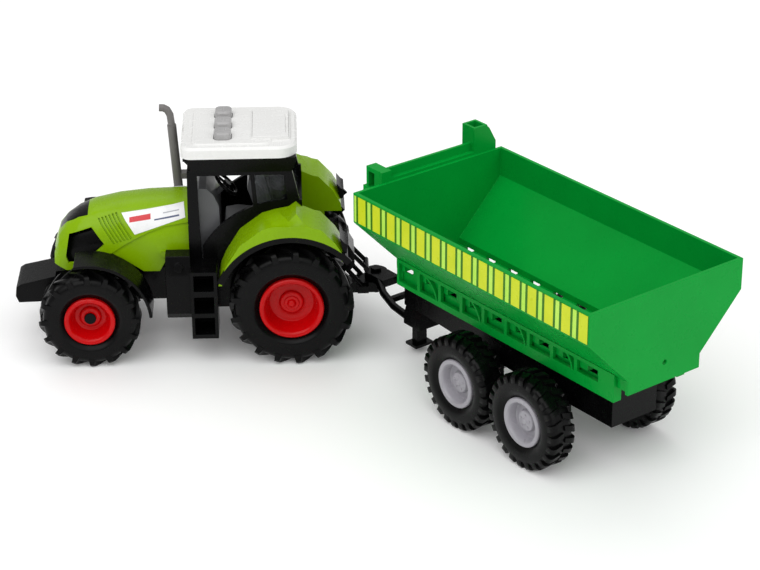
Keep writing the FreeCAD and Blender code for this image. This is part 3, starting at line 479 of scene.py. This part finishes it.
def build_wheels():
    for side, tag in ((1, "left"), (-1, "right")):
        out = Vector((0, side, 0))
        rear = Hub(at(0, side * REAR_FACE_Y, REAR.r), out)
        tyre_piece("rear_tread_" + tag, "rear_tyre_" + tag, "rear_wheels", rear, REAR)
        tractor_rim("rear_disc_" + tag, "rear_rim_" + tag, "rear_wheels", rear, REAR, 8.4, 6.4, 0)
        front = Hub(at(FRONT_AXLE_X, side * FRONT_FACE_Y, FRONT.r), out)
        body = "front_wheel_" + tag
        tyre_piece("front_tread_" + tag, "front_tyre_" + tag, body, front, FRONT)
        tractor_rim("front_disc_" + tag, "front_rim_" + tag, body, front, FRONT, 6.6, 5.6, 1.8)
        for end, u in (("front", TRAILER_U[0]), ("rear", TRAILER_U[1])):
            place = Hub(hung(u, side * TRAILER_FACE_V, TRAILER.r), LEFT * side)
            key = "trailer_" + end
            tyre_piece(key + "_tread_" + tag, key + "_tyre_" + tag, key + "_wheels", place, TRAILER)
            trailer_rim(key + "_disc_" + tag, key + "_rim_" + tag, key + "_wheels", place, TRAILER)


def behind_pin(joint):
    return (Vector(JOINTS[joint]["pos_m"]) - PIN).dot(BACK) / MM


TRAILER_U = (behind_pin("trailer_front_spin"), behind_pin("trailer_rear_spin"))

# ---------------------------------------------------------------- CAD nodes that stay
EDGE_ROUND = {
    "bonnet": 0.45, "rear_fender_left": 0.7, "rear_fender_right": 0.7, "roof": 0.5, "roof_tray": 0.5,
    "cab_frame": 0.35, "cab_interior": 0.8, "front_weight": 0.9, "front_fender_left": 0.6,
    "front_fender_right": 0.6, "step_unit_left": 0.5, "step_unit_right": 0.5, "trailer_hopper": 0.35,
    "trailer_headboard": 0.4, "trailer_panel_left": 0.3, "trailer_panel_right": 0.3,
    "trailer_chassis": 0.5, "tractor_chassis": 0.4, "tow_hitch": 0.5, "trailer_drawbar": 0.6,
    "battery_cover": 0.3, "nose_insert": 0.3, "tail_lamps": 0.5, "hitch_pin": 0.4, "front_axle": 0.4,
}


# Flowing mouldings stay smooth over gentler creases than this, in degrees.
SOFT_FORMS = {"rear_fender_left": 48.0, "rear_fender_right": 48.0, "bonnet": 36.0,
              "front_fender_left": 40.0, "front_fender_right": 40.0}


def dress_cad_nodes():
    slots = {part["node"]: part["material_slot"] for part in frame["record"]["subparts"]}
    for name, node in frame["nodes"].items():
        node.data.materials.clear()
        node.data.materials.append(BY_SLOT[slots[name]])
        crease = SOFT_FORMS.get(name, 30.0)
        sharp_cad_edges(node.data, crease)
        flat_faces(node)
        if name in EDGE_ROUND:
            soften(node, EDGE_ROUND[name], crease - 2.0)


# ---------------------------------------------------------------- floor, light, camera
def build_stage():
    bpy.ops.mesh.primitive_grid_add(x_subdivisions=2, y_subdivisions=2, size=16.0)
    floor = bpy.context.object
    floor.name = "studio_floor"
    g = Graph("pale_floor")
    g.feed(g.shader.inputs["Base Color"],
           g.mix(g.spread(g.noise(3.0), 0.0, 1.0), (0.97, 0.97, 0.97, 1), (1.0, 1.0, 1.0, 1)))
    g.shader.inputs["Roughness"].default_value = 0.6
    g.shader.inputs["Emission Color"].default_value = (1.0, 1.0, 1.0, 1.0)
    g.shader.inputs["Emission Strength"].default_value = 0.06
    floor.data.materials.append(g.material)


def soft_light(name, azimuth, elevation, spread, strength):
    """A far soft light. Azimuth is measured from +Y towards +X, the side the light comes from."""
    data = bpy.data.lights.new(name, "SUN")
    data.angle = math.radians(spread)
    data.energy = strength
    turn, lift = math.radians(azimuth), math.radians(elevation)
    source = Vector((math.sin(turn) * math.cos(lift), math.cos(turn) * math.cos(lift), math.sin(lift)))
    light = bpy.data.objects.new(name, data)
    light.location = TRACTOR + source
    light.rotation_mode = "QUATERNION"
    light.rotation_quaternion = (-source).to_track_quat("-Z", "Y")
    bpy.context.scene.collection.objects.link(light)


WORLD_STRENGTH = 0.42
# Each light: name, azimuth, elevation, spread, strength.
LIGHTS = (("key", 38, 52, 55, 1.35), ("fill", -42, 40, 70, 0.95), ("back", 165, 62, 50, 0.55))


def build_lights():
    world = bpy.data.worlds.new("studio")
    world.use_nodes = True
    world.node_tree.nodes["Background"].inputs["Color"].default_value = (1.0, 1.0, 1.0, 1.0)
    world.node_tree.nodes["Background"].inputs["Strength"].default_value = WORLD_STRENGTH
    bpy.context.scene.world = world
    for light in LIGHTS:
        soft_light(*light)


CAMERA_AZIMUTH = -2.21
CAMERA_ELEVATION = 25.89
CAMERA_ROLL = 0.29
CAMERA_PLACE = (-2.9, 1252.1, 633.4)
CAMERA_LENS = 113.96


def build_camera():
    data = bpy.data.cameras.new("camera")
    data.sensor_width = 36.0
    data.lens = CAMERA_LENS
    data.clip_end = 50.0
    camera = bpy.data.objects.new("camera", data)
    azimuth = math.radians(CAMERA_AZIMUTH)
    elevation = math.radians(CAMERA_ELEVATION)
    ahead = Vector((math.sin(azimuth) * math.cos(elevation), -math.cos(azimuth) * math.cos(elevation),
                    -math.sin(elevation)))
    camera.location = at(*CAMERA_PLACE)
    camera.rotation_mode = "QUATERNION"
    tilt = Quaternion(ahead, math.radians(CAMERA_ROLL))
    camera.rotation_quaternion = tilt @ ahead.to_track_quat("-Z", "Y")
    bpy.context.scene.collection.objects.link(camera)
    bpy.context.scene.camera = camera


bpy.context.scene.view_settings.view_transform = "Standard"
dress_cad_nodes()
build_wheels()
build_stage()
build_lights()
build_camera()
